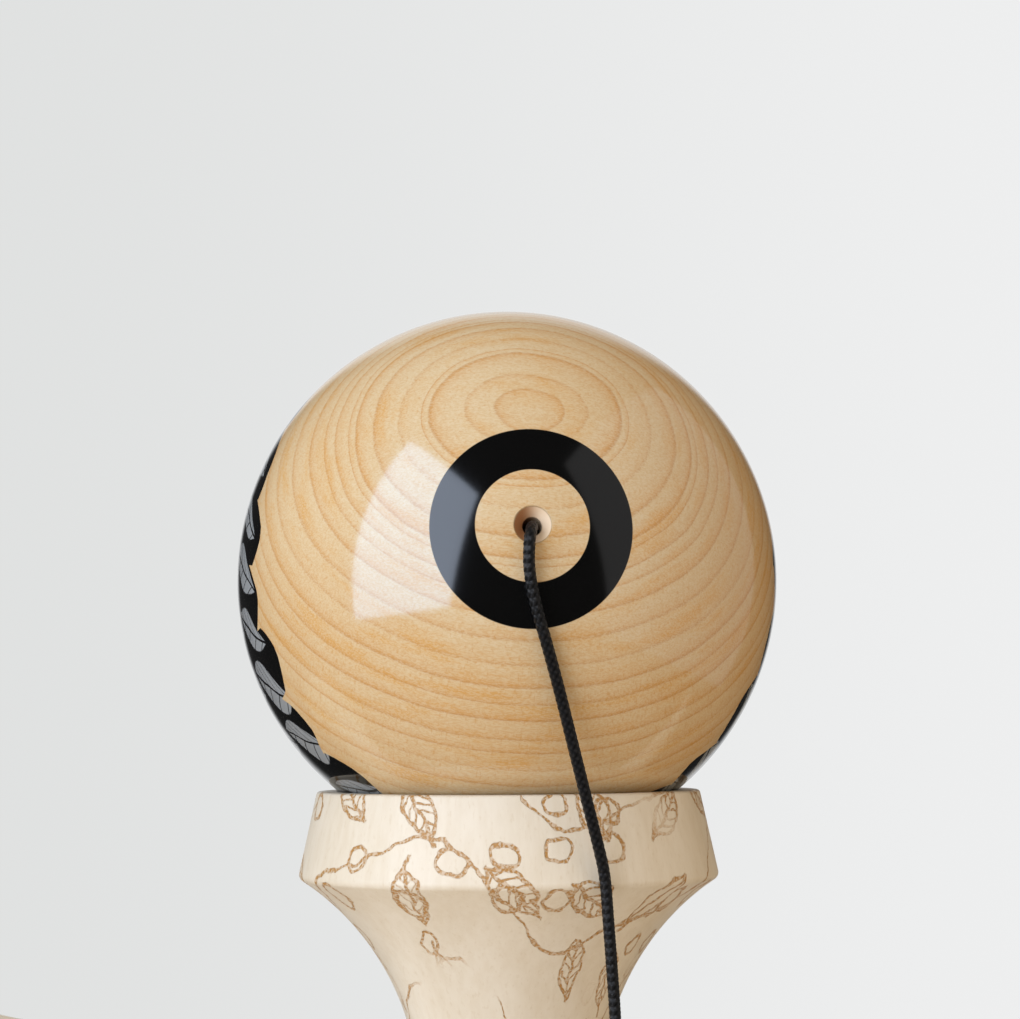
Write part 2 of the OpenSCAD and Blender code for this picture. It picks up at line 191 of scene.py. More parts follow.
class Tone:
    """One socket in a material's node tree: arithmetic on numbers adds Math nodes, and node() adds any other node."""

    def __init__(self, tree, socket=None):
        self.tree, self.socket = tree, socket

    def node(self, kind, settings=None, inputs=None, out=0):
        """A node of that type with its settings, its inputs set or linked; gives the output asked for."""
        made = self.tree.nodes.new(kind)
        for key, value in (settings or {}).items():
            setattr(made, key, value)
        for key, value in (inputs or {}).items():
            if isinstance(value, Tone):
                self.tree.links.new(value.socket, made.inputs[key])
            else:
                made.inputs[key].default_value = value
        if isinstance(out, tuple):
            return [Tone(self.tree, made.outputs[k]) for k in out]
        return Tone(self.tree, made.outputs[out])

    def math(self, operation, *values):
        """A Math node on numbers and tones."""
        return self.node("ShaderNodeMath", {"operation": operation}, dict(enumerate(values)))

    def __add__(self, other): return self.math("ADD", self, other)
    def __radd__(self, other): return self.math("ADD", other, self)
    def __sub__(self, other): return self.math("SUBTRACT", self, other)
    def __rsub__(self, other): return self.math("SUBTRACT", other, self)
    def __mul__(self, other): return self.math("MULTIPLY", self, other)
    def __rmul__(self, other): return self.math("MULTIPLY", other, self)
    def __truediv__(self, other): return self.math("DIVIDE", self, other)
    def __rtruediv__(self, other): return self.math("DIVIDE", other, self)
    def __pow__(self, other): return self.math("POWER", self, other)
    def __abs__(self): return self.math("ABSOLUTE", self)

    def of(self, operation, *others):
        """A Math operation on this number, and on others after it, such as SINE or MAXIMUM."""
        return self.math(operation, self, *others)

    def step(self, low, high):
        """0 below low, 1 above high, and a smooth rise between; it falls where low is the larger."""
        ends = {0: self, 1: low, 2: high, 3: 0.0, 4: 1.0}
        return self.node("ShaderNodeMapRange", {"interpolation_type": "SMOOTHSTEP"}, ends)

    def ramp(self, stops):
        """A number read off straight lines between stops (place, value), all within 0 to 1."""
        made = self.node("ShaderNodeValToRGB", None, {0: self})
        elements = made.socket.node.color_ramp.elements
        for place, value in stops[2:]:
            elements.new(place)
        for element, (place, value) in zip(elements, stops):
            element.position, element.color = place, (value, value, value, 1.0)
        return made

    def colours(self, first, second):
        """The first colour where this number is 0, the second where it is 1."""
        return self.node("ShaderNodeMix", {"data_type": "RGBA"}, {0: self, 6: first, 7: second}, out=2)

    def dot(self, direction):
        """Length of this vector along a fixed or computed direction."""
        return self.node("ShaderNodeVectorMath", {"operation": "DOT_PRODUCT"}, {0: self, 1: direction}, out=1)

    def noise(self, scale, detail=2.0, roughness=0.5, stretch=(1, 1, 1), shift=(0, 0, 0)):
        """Smooth noise from 0 to 1 on this vector, drawn out by the stretch and shifted."""
        placing = {"Vector": self, "Location": shift, "Scale": stretch}
        laid = self.node("ShaderNodeMapping", None, placing)
        settings = {"Vector": laid, "Scale": scale, "Detail": detail, "Roughness": roughness}
        return self.node("ShaderNodeTexNoise", None, settings)


def finish_of(name, **constants):
    """A new material with its Principled BSDF, constants set on the shader's own sockets, and a Tone to build on."""
    material = bpy.data.materials.new(name)
    material.use_nodes = True
    shader = material.node_tree.nodes["Principled BSDF"]
    for key, value in constants.items():
        shader.inputs[key.replace("_", " ")].default_value = value
    return material, shader, Tone(material.node_tree)


def wear(shader, **tones):
    """Links tones to the sockets of a shader that may vary over the surface."""
    for key, tone in tones.items():
        tone.tree.links.new(tone.socket, shader.inputs[key.replace("_", " ")])


free_points = np.array([
    [2.5, -29.8, 94.8], [2.35, -30.7, 94.2], [2.25, -31.2, 93.2], [2.2, -31.1, 91.4], [2.4, -30.9, 89.4],
    [3.0, -30.5, 86.6], [3.9, -29.7, 83.4], [5.1, -28.1, 79.0], [6.6, -26.2, 73.0], [8.1, -24.3, 67.0],
    [9.3, -22.8, 62.2], [9.8, -22.2, 59.6], [10.1, -22.0, 55.5], [10.4, -21.9, 51.0], [10.7, -21.8, 46.0],
    [11.0, -21.9, 38.0], [11.4, -22.1, 27.0], [11.8, -22.2, 15.0], [12.5, -22.1, 7.0], [13.9, -21.4, 2.6],
    [16.4, -19.3, 0.8], [20.0, -15.6, 0.7], [24.5, -11.8, 0.7], [29.0, -9.5, 0.7]]) * MM
return_points = np.array([
    [29.5, -25.2, 2.0], [25.0, -26.0, 1.0], [19.0, -27.2, 0.7], [12.5, -27.9, 0.7], [7.0, -27.3, 0.7],
    [3.4, -25.6, 0.9], [1.5, -23.9, 2.2], [0.8, -22.9, 4.6], [0.5, -22.4, 7.2], [0.3, -21.6, 9.6],
    [0.2, -18.5, 13.0], [0.1, -15.7, 16.8], [0.0, -13.9, 21.0], [0.0, -13.6, 26.0], [0.0, -13.5, 31.0],
    [0.0, -12.8, 32.7], [0.0, -11.2, 33.4], [0.0, -8.0, 33.4], [0.0, -5.6, 33.4]]) * MM
hole_stretch = ball_centre + hole_axis * np.array([[27.0], [28.6], [29.43]]) * MM

COIL_CENTRE = np.array([34.0, -17.0]) * MM
COIL_R = 8.0 * MM
COIL_PITCH = 1.65 * MM
LAYER_TURNS, CLIMB_TURNS, LIE_Z = 1.5, 0.5, 0.65 * MM
coil_turns = 2 * LAYER_TURNS + CLIMB_TURNS
turn = np.linspace(0, coil_turns, 700)
coil_r = COIL_R - COIL_PITCH * np.minimum(turn, coil_turns - turn)
climb = np.clip((turn - LAYER_TURNS) / CLIMB_TURNS, 0, 1)
coil = np.stack([COIL_CENTRE[0] + coil_r * np.sin(2 * np.pi * turn),
                 COIL_CENTRE[1] + coil_r * np.cos(2 * np.pi * turn),
                 LIE_Z + COIL_PITCH * (1 - np.cos(np.pi * climb)) / 2], axis=1)
coil_lead = np.array([CORD_D, 0, 0])
coil = np.vstack([coil[0] - coil_lead, coil, coil[-1] - coil_lead])
free_run = curve_through(np.vstack([hole_stretch, free_points, coil[:1]]), 24)
return_run = curve_through(np.vstack([coil[-1:], return_points]), 24)
cord_path = np.vstack([free_run, coil[1:-1], return_run])
cord_path = softened(resampled(cord_path, RING_STEP), 5)


def braided_tube(path):
    """A cord along a path: two sets of strands wind opposite ways and pass over and under in turn, so the radius is
    the cord's own plus the crown of whichever strand is on top there. Gives the shell and each point's height."""
    _, side, across = carried_frames(path)
    run = np.arange(len(path)) * np.linalg.norm(path[1] - path[0])
    angle = np.linspace(0, 2 * np.pi, CORD_SIDES, endpoint=False)
    one_way = angle * STRANDS / (2 * np.pi) + run[:, None] / BRAID_PITCH
    other_way = angle * STRANDS / (2 * np.pi) - run[:, None] / BRAID_PITCH
    over = (np.floor(one_way) + np.floor(other_way)) % 2 == 0
    crown = np.abs(np.sin(np.pi * np.where(over, one_way, other_way))) ** 0.7
    crown *= np.abs(np.sin(np.pi * np.where(over, other_way, one_way))) ** 0.3
    radius = CORD_D / 2 + BRAID_DEPTH * (crown - 0.75)
    around = side[:, None] * np.cos(angle)[:, None] + across[:, None] * np.sin(angle)[:, None]
    shell = Shell()
    grid = shell.add(path[:, None] + around * radius[..., None])
    shell.skin(grid)
    for ring, tip in ((grid[0], path[0]), (grid[-1][::-1], path[-1])):
        shell.fan(ring, shell.add(tip[None])[0])
    return shell, np.concatenate([crown.ravel(), [0.5, 0.5]])


cord_black, shader, tone = finish_of("cord_black", Roughness=0.42, Specular_IOR_Level=0.34,
                                      Specular_Tint=(1.0, 0.93, 0.86, 1.0))
height = tone.node("ShaderNodeAttribute", {"attribute_name": "crown"}, out=2)
# Painted shade in the braid's crevices and painted sheen on the strands' crowns, read off each point's crown height.
wear(shader, Base_Color=height.step(0.25, 1.0).colours(CORD_CREVICE_PAINTED_SHADE, CORD_CROWN_PAINTED_SHEEN))

cord_shell, cord_height = braided_tube(cord_path)
cord = cord_shell.piece("cord", cord_black, {"crown": cord_height})
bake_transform(cord)
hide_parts("string", "string_coil", "string_return")

# Inner cord and its two stopper knots: the same string, tied off under the bead inside the ball and again
# inside the stick's cross hole, each with an overhand knot pulled tight.
KNOT_R = 1.5 * MM
BEAD_KNOT_AT = -0.43 * MM
KEN_KNOT_PLACE = np.array([0.0, -5.3, 33.4]) * MM


def overhand_knot(centre, axis, radius):
    """A trefoil, the closed overhand knot: (sin t + 2 sin 2t, cos t - 2 cos 2t, -1.4 sin 3t), scaled and laid on an
    axis."""
    t = np.linspace(0, 2 * np.pi, 200)
    loop = np.stack([np.sin(t) + 2 * np.sin(2 * t), np.cos(t) - 2 * np.cos(2 * t), -1.4 * np.sin(3 * t)], axis=1)
    loop *= (radius - CORD_D / 2) / 3.0
    first = np.cross(axis, [0.0, 0.0, 1.0])
    first /= np.linalg.norm(first)
    laid = loop @ np.stack([first, np.cross(axis, first), axis])
    return resampled(centre + laid, RING_STEP)


inner_path = ball_centre + hole_axis * (np.linspace(BEAD_KNOT_AT / MM, 27.6, 250) * MM)[:, None]
inner_shell, inner_height = braided_tube(resampled(inner_path, RING_STEP))
inner_cord = inner_shell.piece("inner_cord", cord_black, {"crown": inner_height})
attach(inner_cord, "string_bead")
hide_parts("string_inner")
knots = {
    "bead_knot": ("string_bead", ball_centre + hole_axis * BEAD_KNOT_AT, hole_axis),
    "ken_knot": ("sarado", KEN_KNOT_PLACE, np.array([0.0, 1.0, 0.0])),
}
for node, (body, place, axis) in knots.items():
    knot_shell, knot_height = braided_tube(overhand_knot(place, axis, KNOT_R))
    knot = knot_shell.piece(node + "_tied", cord_black, {"crown": knot_height})
    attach(knot, body)
    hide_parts(node)

# Cross piece (sarado): one maple turning with the big cup on top and the small cup below, sanded and left bare,
# its side burnt with a thin brown line drawing. A tapered hole across the waist takes the stick, and two small
# holes at the front and back let the string in.
AXIS_Z = 33.4 * MM
RIM_Z = 68.1 * MM
WAIST_R, WAIST_HALF = 10.0 * MM, 1.0 * MM
BIG_CUP = dict(edge_r=23.25 * MM, bevel_h=9.4 * MM, rim_r=21.2 * MM, bowl_r=18.85 * MM, bowl_depth=12.5 * MM)
SMALL_CUP = dict(edge_r=21.3 * MM, bevel_h=8.4 * MM, rim_r=19.4 * MM, bowl_r=17.0 * MM, bowl_depth=9.5 * MM)
LIP_ROUND, RIM_ROUND, EDGE_ROUND = 0.5 * MM, 0.4 * MM, 0.8 * MM
STRING_HOLE_R = 1.0 * MM
STEM_R, STEM_SLOPE, STEM_CLEARANCE = 6.9 * MM, np.tan(np.radians(2.4)), 0.05 * MM
SARADO_COLUMNS = 256
BORE_BLOCK, STRING_BLOCK, INSIDE_BLOCK = (22, 38), (3, 5), (4, 4)


def arc(centre, radius, start, end, step=0.5 * MM):
    """Points of an arc from one angle to another (degrees), about one step apart and at least six, ends included."""
    count = max(int(abs(np.radians(end - start)) * radius / step), 6) + 1
    angle = np.radians(np.linspace(start, end, count))
    return np.asarray(centre) + radius * np.stack([np.cos(angle), np.sin(angle)], axis=1)


def line(*places, step=0.8 * MM):
    """Points of a profile's straight lines through the places, about one step apart, ends included."""
    runs = [np.asarray(places[:1], float)]
    for start, end in zip(places[:-1], places[1:]):
        count = max(int(round(np.linalg.norm(np.subtract(end, start)) / step)), 1)
        runs.append(start + np.subtract(end, start) * (np.arange(1, count + 1) / count)[:, None])
    return np.vstack(runs)


def joined(*runs):
    """One profile from several runs of points, with doubled points dropped."""
    points = np.vstack(runs)
    apart = np.linalg.norm(np.diff(points, axis=0), axis=1) > 1e-7
    return points[np.concatenate([[True], apart])]


def flare_radius(rise, neck_r, edge_r, length):
    """Radius of a flare above its neck: an arc that leaves the neck's side smoothly and ends at the edge."""
    bend = ((edge_r - neck_r) ** 2 + length**2) / (2 * (edge_r - neck_r))
    return neck_r + bend - np.sqrt(bend**2 - np.clip(rise, 0, length) ** 2)


def corner_rounding(before, corner, after, radius):
    """The arc of a radius that touches both straight sides of a corner, from one side to the other."""
    a, b = np.subtract(before, corner), np.subtract(after, corner)
    a, b = a / np.linalg.norm(a), b / np.linalg.norm(b)
    half = np.arccos(a @ b) / 2
    centre = corner + (a + b) / np.linalg.norm(a + b) * radius / np.sin(half)
    first, last = corner + a * radius / np.tan(half) - centre, corner + b * radius / np.tan(half) - centre
    turn = np.arctan2(first[0] * last[1] - first[1] * last[0], first @ last)
    begin = np.degrees(np.arctan2(first[1], first[0]))
    return arc(centre, radius, begin, begin + np.degrees(turn))


def cup_profile(rises, neck_r, flare_len, edge_r, bevel_h, rim_r, bowl_r, bowl_depth):
    """Profile (radius, rise) of a turned cup from its neck to the middle of its bowl: flare, edge, bevel, rim, bowl."""
    rim_h = flare_len + bevel_h
    rises = rises[rises < flare_len - EDGE_ROUND]
    flare = np.stack([flare_radius(rises, neck_r, edge_r, flare_len), rises], axis=1)
    edge, rim = np.array([edge_r, flare_len]), np.array([rim_r, rim_h])
    bowl = (bowl_depth**2 + bowl_r**2) / (2 * bowl_depth)
    bowl_top = np.degrees(np.arctan2(bowl_depth - bowl, bowl_r))
    bowl_side = arc([0, rim_h + bowl - bowl_depth], bowl, bowl_top, -90, 0.8 * MM)
    lip = bowl_side[0]
    return joined(flare, corner_rounding(flare[-1], edge, rim, EDGE_ROUND),
                  line(edge, rim)[2:-1], corner_rounding(edge, rim, lip, RIM_ROUND),
                  corner_rounding(rim, lip, bowl_side[1], LIP_ROUND), bowl_side[2:])


def punched(shell, numbers, u, v, row, column, half_rows, half_columns, lift, mouth, keep, rings=4):
    """Opens a hole in a grid: drops the block of cells around one grid point, then bridges from the block's border
    to the hole's mouth with rings laid on the surface. The mouth is found at each border point's angle seen along
    the hole. Gives the numbers of the mouth's points and their angles, in the order of the angles."""
    a, b = half_rows, half_columns
    down, right = np.arange(-a, a), np.arange(-b, b)
    loop_rows = row + np.concatenate([np.full(2 * b, -a), down, np.full(2 * b, a), -down])
    loop_columns = column + np.concatenate([right, np.full(2 * a, b), -right, np.full(2 * a, -b)])
    loop_columns %= numbers.shape[1]
    block = (column + np.arange(-b, b)) % numbers.shape[1]
    keep[row - a:row + a, block] = False
    border_u, border_v = u[loop_rows, loop_columns], v[loop_rows, loop_columns]
    angle, mouth_u, mouth_v = mouth(lift(border_u, border_v))
    mouth_u = border_u + (mouth_u - border_u + np.pi) % (2 * np.pi) - np.pi
    share = (np.arange(1, rings + 1) / rings)[:, None]
    strip = lift(border_u + (mouth_u - border_u) * share, border_v + (mouth_v - border_v) * share)
    ring_numbers = np.vstack([numbers[loop_rows, loop_columns][None], shell.add(strip)])
    shell.skin(ring_numbers)
    order = np.argsort(angle)
    return ring_numbers[-1][order], strip[-1][order], angle[order]


big_flare_len = RIM_Z - AXIS_Z - WAIST_HALF - BIG_CUP["bevel_h"]
small_flare_len = AXIS_Z - WAIST_HALF - SMALL_CUP["bevel_h"]
flare_rises = np.arange(0.4, 24.4, 0.4) * MM
top = cup_profile(flare_rises, WAIST_R, big_flare_len, **BIG_CUP) + [0, AXIS_Z + WAIST_HALF]
bottom = cup_profile(flare_rises, WAIST_R, small_flare_len, **SMALL_CUP) * [1, -1] + [0, AXIS_Z - WAIST_HALF]
waist = np.stack([np.full(6, WAIST_R), AXIS_Z + np.linspace(-1, 1, 6) * WAIST_HALF], axis=1)
sarado_profile = joined(bottom[::-1], waist, top)
waist_row = len(bottom) + 2
sarado_angle = np.linspace(0, 2 * np.pi, SARADO_COLUMNS, endpoint=False)


def waist_radius(z):
    """Radius of the cross piece between its two edges."""
    rise = np.abs(z - AXIS_Z) - WAIST_HALF
    up = flare_radius(rise, WAIST_R, BIG_CUP["edge_r"], big_flare_len)
    down = flare_radius(rise, WAIST_R, SMALL_CUP["edge_r"], small_flare_len)
    return np.where(z > AXIS_Z, up, down)


def on_waist(angle, z):
    """Point of the waist's surface at an angle about the upright axis and a height."""
    r = waist_radius(z)
    return np.stack([r * np.cos(angle), r * np.sin(angle), z], axis=-1)


def bore_radius(x):
    """Radius of the tapered cross hole: the stem's, which falls evenly along x, plus the clearance."""
    return STEM_R + STEM_CLEARANCE - x * STEM_SLOPE


def on_bore(angle, x):
    """Point of the tapered hole's wall at an angle about its axis and a place along it."""
    r = bore_radius(x)
    return np.stack([x, r * np.cos(angle), AXIS_Z + r * np.sin(angle)], axis=-1)


def bore_mouth(points):
    """Where the tapered hole leaves the waist: x follows from the waist's radius there, worked out by repetition."""
    angle = np.arctan2(points[:, 2] - AXIS_Z, points[:, 1])
    x = points[:, 0]
    for _ in range(30):
        r = bore_radius(x)
        y, z = r * np.cos(angle), AXIS_Z + r * np.sin(angle)
        x = np.sign(x) * np.sqrt(waist_radius(z) ** 2 - y**2)
    return angle, np.arctan2(y, x), z


def string_mouth(points):
    """Where a string hole leaves the waist."""
    angle = np.arctan2(points[:, 2] - AXIS_Z, points[:, 0])
    x, z = STRING_HOLE_R * np.cos(angle), AXIS_Z + STRING_HOLE_R * np.sin(angle)
    y = np.sign(points[:, 1]) * np.sqrt(waist_radius(z) ** 2 - x**2)
    return angle, np.arctan2(y, x), z


def string_mouth_inside(points):
    """Where a string hole enters the tapered hole."""
    angle = np.arctan2(points[:, 2] - AXIS_Z, points[:, 0])
    x, rise = STRING_HOLE_R * np.cos(angle), STRING_HOLE_R * np.sin(angle)
    y = np.sign(points[:, 1]) * np.sqrt(bore_radius(x) ** 2 - rise**2)
    return angle, np.arctan2(rise, y), x


def turned(profile, columns, centre, axis):
    """Points of a turned surface: each profile point (radius, place on the axis) is carried once round the axis."""
    first = np.cross(axis, [1.0, 0.0, 0.0] if abs(axis[0]) < 0.9 else [0.0, 0.0, -1.0])
    first /= np.linalg.norm(first)
    angle = np.linspace(0, 2 * np.pi, columns, endpoint=False)[:, None]
    spoke = first * np.cos(angle) + np.cross(axis, first) * np.sin(angle)
    return centre + profile[:, None, :1] * spoke[None] + profile[:, None, 1:] * axis


sarado_shell = Shell()
r, z = sarado_profile[1:-1, :1], sarado_profile[1:-1, 1:]
points = np.stack([r * np.cos(sarado_angle), r * np.sin(sarado_angle), z + 0 * sarado_angle], axis=-1)
numbers = sarado_shell.add(points)
u, v = np.broadcast_to(sarado_angle, points.shape[:2]), points[..., 2]
keep = np.ones((len(numbers) - 1, SARADO_COLUMNS), bool)
mouths = {}
for place, quarter, block, mouth in (("right", 0, BORE_BLOCK, bore_mouth), ("left", 2, BORE_BLOCK, bore_mouth),
                                     ("back", 1, STRING_BLOCK, string_mouth), ("front", 3, STRING_BLOCK, string_mouth)):
    column = quarter * SARADO_COLUMNS // 4
    mouths[place] = punched(sarado_shell, numbers, u, v, waist_row, column, *block, on_waist, mouth, keep)
sarado_shell.skin(numbers, keep=keep)
for ring, tip in ((numbers[0], sarado_profile[0]), (numbers[-1], sarado_profile[-1])):
    sarado_shell.fan(ring, sarado_shell.add(np.array([[0, 0, tip[1]]]))[0])
share = np.linspace(0, 1, 61)[1:-1, None, None]
bore_points = mouths["right"][1] * (1 - share) + mouths["left"][1] * share
bore_numbers = np.vstack([mouths["right"][0][None], sarado_shell.add(bore_points), mouths["left"][0][None]])
bore_u = np.broadcast_to(mouths["right"][2], bore_numbers.shape)
bore_v = np.concatenate([mouths["right"][1][None], bore_points, mouths["left"][1][None]])[..., 0]
bore_keep = np.ones((len(bore_numbers) - 1, bore_numbers.shape[1]), bool)
for place, angle in (("back", 0.0), ("front", np.pi)):
    column = int(np.argmin(np.abs((mouths["right"][2] - angle + np.pi) % (2 * np.pi) - np.pi)))
    inside = punched(sarado_shell, bore_numbers, bore_u, bore_v, len(bore_numbers) // 2, column, *INSIDE_BLOCK, on_bore,
                     string_mouth_inside, bore_keep)
    sarado_shell.skin(np.stack([mouths[place][0], inside[0]]))
sarado_shell.skin(bore_numbers, keep=bore_keep)

MAPLE_PALE, MAPLE_DEEP = (0.672, 0.608, 0.498, 1.0), (0.580, 0.492, 0.362, 1.0)
BURNT = (0.395, 0.200, 0.052, 1.0)
DRAWN_R, SHAKE = 20.0, 1.6
LEAF_CELL, BERRY_CELL, VINE_GAP = 2 * np.pi * DRAWN_R / 14, 2 * np.pi * DRAWN_R / 25, 13.0
OUTLINE_HALF, RIB_HALF, VEIN_HALF, BERRY_HALF, VINE_HALF = 0.021, 0.018, 0.12, 0.036, 0.0145
GROOVE_DEPTH = 0.12 * MM
DRAWN_FROM, DRAWN_FULL = 36.0, 40.0


def bare_wood(name, grain):
    """Sanded maple: streaks and short flecks drawn out along the grain, with faint growth rings. Gives the material,
    its shader, the place in millimetres and the wood's colour."""
    material, shader, tone = finish_of(name, Roughness=0.45)
    place = tone.node("ShaderNodeTexCoord", out=3)
    place = place.node("ShaderNodeVectorMath", {"operation": "SCALE"}, {0: place, 3: 1000.0})
    drawn, dashed = (tuple(share if g else 1.0 for g in grain) for share in (0.07, 0.28))
    streak = place.noise(1.1, 3.0, 0.6, stretch=drawn)
    fleck = place.noise(3.2, 2.0, 0.5, stretch=dashed, shift=(3, 5, 7)).step(0.58, 0.72)
    band = place.noise(0.16, 2.0, 0.5, stretch=drawn, shift=(9, 2, 4))
    depth = streak.step(0.3, 0.75) * 0.35 + fleck * 0.36 + band.step(0.35, 0.7) * 0.35
    return material, shader, place, depth.colours(MAPLE_PALE, MAPLE_DEEP)


bare_maple, shader, place, wood = bare_wood("bare_maple", (0, 0, 1))
x, y, z = place.node("ShaderNodeSeparateXYZ", None, {0: place}, out=(0, 1, 2))
radius = (x * x + y * y) ** 0.5
shake = place.noise(0.45, 2.0, 0.5)
shake_up = place.noise(0.45, 2.0, 0.5, shift=(20, 30, 40))
around = x.of("ARCTAN2", 0.0 - y) * DRAWN_R + shake * SHAKE
rise = z + shake_up * SHAKE


def motif_cell(size, seed):
    """One motif to a square cell: its centre is shifted and its axes are turned at random. Gives the place in the
    cell along and across the motif (in cells) and two random numbers."""
    column, row = around / size + 0.5, rise / size
    cell = column.node("ShaderNodeCombineXYZ", None, {0: column.of("FLOOR"), 1: row.of("FLOOR"), 2: seed})
    chance, colour = cell.node("ShaderNodeTexWhiteNoise", {"noise_dimensions": "3D"}, {0: cell}, out=(0, 1))
    red, green, blue = cell.node("ShaderNodeSeparateColor", None, {0: colour}, out=(0, 1, 2))
    a, b = column.of("FRACT") - 0.5 - (red - 0.5) * 0.3, row.of("FRACT") - 0.5 - (green - 0.5) * 0.3
    turn = blue * (2 * np.pi)
    cosine, sine = turn.of("COSINE"), turn.of("SINE")
    return a * cosine + b * sine, b * cosine - a * sine, chance, red


def drawn_line(distance, half_width):
    """1 on a line of that half width, with a soft edge."""
    return abs(distance).step(half_width * 1.35, half_width * 0.75)


along, aside, chance, size = motif_cell(LEAF_CELL, 3.0)
half_leaf = 0.30 + size * 0.10
leaf_side = abs(aside) - (1.0 - (along / half_leaf) ** 2.0) * 0.17
in_leaf = leaf_side.step(0.0, -0.02)
on_leaf = abs(along).step(half_leaf * 1.02, half_leaf * 0.99)
outline = drawn_line(leaf_side, OUTLINE_HALF) * on_leaf
rib = drawn_line(aside, RIB_HALF) * abs(along - 0.06).step(half_leaf * 1.25, half_leaf * 1.2)
veins = drawn_line(((along - abs(aside) * 0.9) * 8.0).of("FRACT") - 0.5, VEIN_HALF) * in_leaf
leaf = (outline + rib + veins * chance.step(0.45, 0.5)) * chance.step(0.34, 0.36)
along, aside, chance, size = motif_cell(BERRY_CELL, 8.0)
out = (along * along + aside * aside) ** 0.5
berries = drawn_line(out - 0.12 - size * 0.16, BERRY_HALF) * chance.step(0.60, 0.62)
wave = rise + (around * 0.15).of("SINE") * 6.0 + (around * 0.35).of("SINE") * 1.6
vine = drawn_line((wave / VINE_GAP).of("FRACT") - 0.5, VINE_HALF)
drawing = (leaf + berries + vine).of("MINIMUM", 1.0)
# The drawing lies outside the rim's top or below the bevel, leaves bald places and is burnt dot by dot.
side = radius.step(19.5, 20.2).of("MAXIMUM", z.step(58.9, 58.5))
bald = place.noise(0.055, 1.0, 0.5, shift=(5, 1, 3)).step(0.36, 0.44)
beads = place.noise(3.4, 1.0, 0.5).step(0.38, 0.62) * 0.55 + 0.45
drawing = drawing * side * bald * z.step(DRAWN_FROM, DRAWN_FULL) * beads
groove = {"Height": drawing, "Distance": GROOVE_DEPTH, "Strength": 0.8}
wear(shader, Base_Color=drawing.colours(wood, BURNT),
     Normal=drawing.node("ShaderNodeBump", {"invert": True}, groove))
sarado = sarado_shell.piece("sarado_turned", bare_maple)
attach(sarado, "sarado")
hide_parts("sarado")

# Stick (ken): one long maple turning, sanded and left bare: base cup, handle, tapered stem and spike. A cross hole
# in the stem holds the string's stopper knot.
BASE_CUP = dict(edge_r=20.7 * MM, bevel_h=8.2 * MM, rim_r=18.8 * MM, bowl_r=16.4 * MM, bowl_depth=8.5 * MM)
BASE_REACH, BASE_FLARE = 80.6 * MM, 22.8 * MM
HANDLE_R, HANDLE_TOP_R = 9.55 * MM, 8.213 * MM
HANDLE_END, SHOULDER, BORE_HALF = -11.81 * MM, -11.21 * MM, 11.91 * MM
SPIKE_MID_R, SPIKE_MID_AT, SPIKE_TIP_R, SPIKE_TIP_AT = 5.4 * MM, 46.0 * MM, 2.6 * MM, 87.4 * MM
POCKET_R = 2.4 * MM
KEN_COLUMNS = 192
POCKET_BLOCK = (6, 13)

flare_start = BASE_CUP["bevel_h"] + BASE_FLARE - BASE_REACH
base = cup_profile(np.arange(0.0, 22.8, 0.5) * MM, HANDLE_R, BASE_FLARE, **BASE_CUP) * [1, -1] + [0, flare_start]
handle_x = np.linspace(flare_start, HANDLE_END, 50)
handle_len = HANDLE_END - flare_start
handle_r = 2 * HANDLE_R - flare_radius(handle_x - flare_start, HANDLE_R, 2 * HANDLE_R - HANDLE_TOP_R, handle_len)
handle = np.stack([handle_r, handle_x], axis=1)
stem_ends = [[STEM_R - x * STEM_SLOPE, x] for x in (SHOULDER, -3.5 * MM, 3.5 * MM, BORE_HALF)]
to_mid = np.array([SPIKE_MID_R, SPIKE_MID_AT - SPIKE_TIP_AT])
tip_angle = np.arctan2(to_mid[1], to_mid[0]) + np.arccos(SPIKE_TIP_R / np.linalg.norm(to_mid))
tip = arc([0, SPIKE_TIP_AT], SPIKE_TIP_R, np.degrees(tip_angle), 90)
ken_profile = joined(base[::-1], handle, line(*stem_ends[:2]), line(*stem_ends[1:3], step=0.5 * MM),
                     line(*stem_ends[2:], [SPIKE_MID_R, SPIKE_MID_AT], tip[0], step=1.5 * MM), tip)


def on_stem(angle, x):
    """Point of the tapered stem's surface at an angle about its axis and a place along it."""
    r = STEM_R - x * STEM_SLOPE
    return np.stack([x, r * np.cos(angle), AXIS_Z + r * np.sin(angle)], axis=-1)


def pocket_mouth(points):
    """Where the cross hole leaves the stem."""
    angle = np.arctan2(points[:, 2] - AXIS_Z, points[:, 0])
    x, rise = POCKET_R * np.cos(angle), POCKET_R * np.sin(angle)
    y = np.sign(points[:, 1]) * np.sqrt((STEM_R - x * STEM_SLOPE) ** 2 - rise**2)
    return angle, np.arctan2(rise, y), x


ken_shell = Shell()
ken_angle = np.linspace(0, 2 * np.pi, KEN_COLUMNS, endpoint=False)
r, x = ken_profile[1:-1, :1], ken_profile[1:-1, 1:]
points = np.stack([x + 0 * ken_angle, r * np.cos(ken_angle), AXIS_Z + r * np.sin(ken_angle)], axis=-1)
numbers = ken_shell.add(points)
u, v = np.broadcast_to(ken_angle, points.shape[:2]), points[..., 0]
keep = np.ones((len(numbers) - 1, KEN_COLUMNS), bool)
stem_row = int(np.argmin(np.abs(ken_profile[1:-1, 1])))
back_mouth, front_mouth = [
    punched(ken_shell, numbers, u, v, stem_row, column, *POCKET_BLOCK, on_stem, pocket_mouth, keep)
    for column in (0, KEN_COLUMNS // 2)]
share = np.linspace(0, 1, 15)[1:-1, None, None]
pocket = ken_shell.add(back_mouth[1] * (1 - share) + front_mouth[1] * share)
ken_shell.skin(np.vstack([back_mouth[0][None], pocket, front_mouth[0][None]]))
ken_shell.skin(numbers, keep=keep)
for ring, end in ((numbers[0], ken_profile[0]), (numbers[-1], ken_profile[-1])):
    ken_shell.fan(ring, ken_shell.add(np.array([[end[1], 0, AXIS_Z]]))[0])
